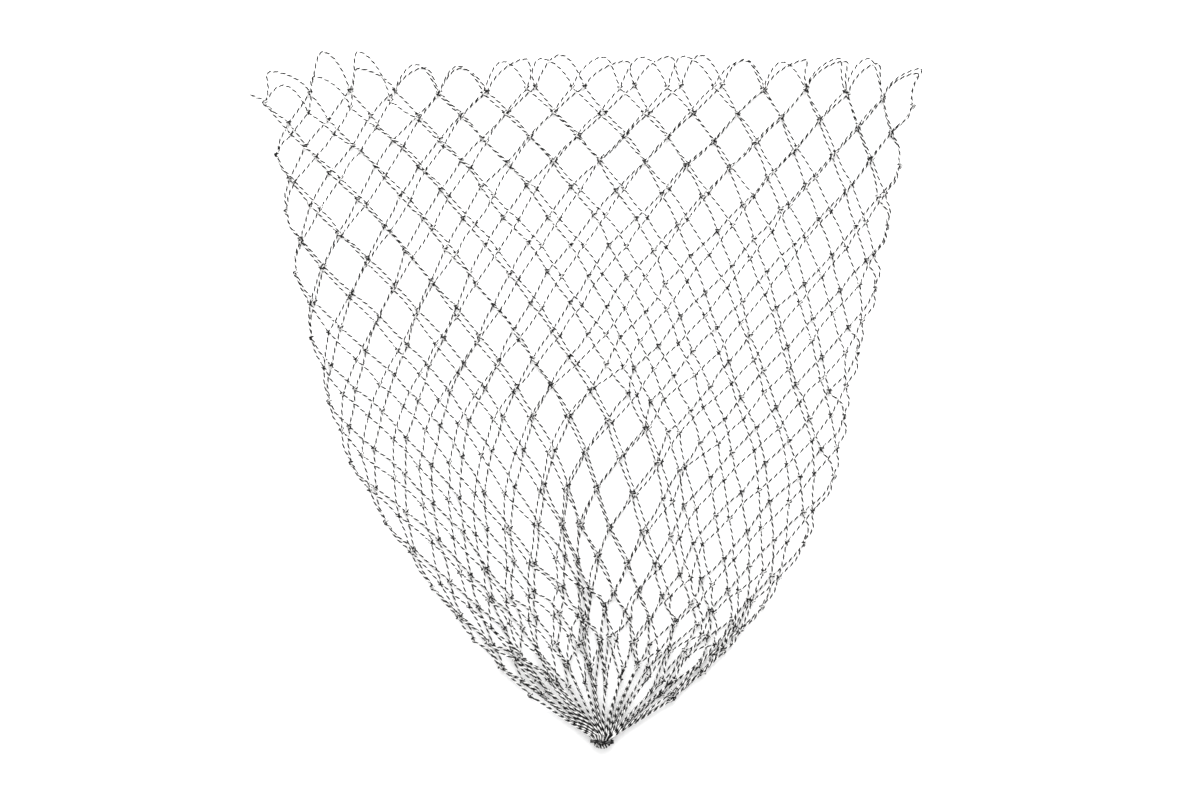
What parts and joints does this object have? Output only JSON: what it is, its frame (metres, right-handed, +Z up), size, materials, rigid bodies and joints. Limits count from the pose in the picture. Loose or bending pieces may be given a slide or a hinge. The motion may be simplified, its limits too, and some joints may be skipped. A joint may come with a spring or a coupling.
{
  "type": "landing net mesh",
  "caption": "Bag of knotted diamond mesh for a landing net, lying flat, with free loops round its mouth for a hoop and a closed end that is drawn together and tied.",
  "frame": {"origin": "on the surface the net lies on, under the middle of its box", "axes": "+X to the right across the flat bag, +Y from the tied closed end towards the mouth loops, +Z up"},
  "size_m": [0.4879, 0.5041, 0.011],
  "materials": {
    "net_twine": "two-ply twisted twine, one ply black and one white, matt with a slight fibre sheen",
    "tie_twine": "two-ply twisted twine, black and dark grey, matt, wound tight"
  },
  "bodies": {
    "root": {"net_bag": "net_twine", "draw_twine": "tie_twine"}
  },
  "joints": []
}
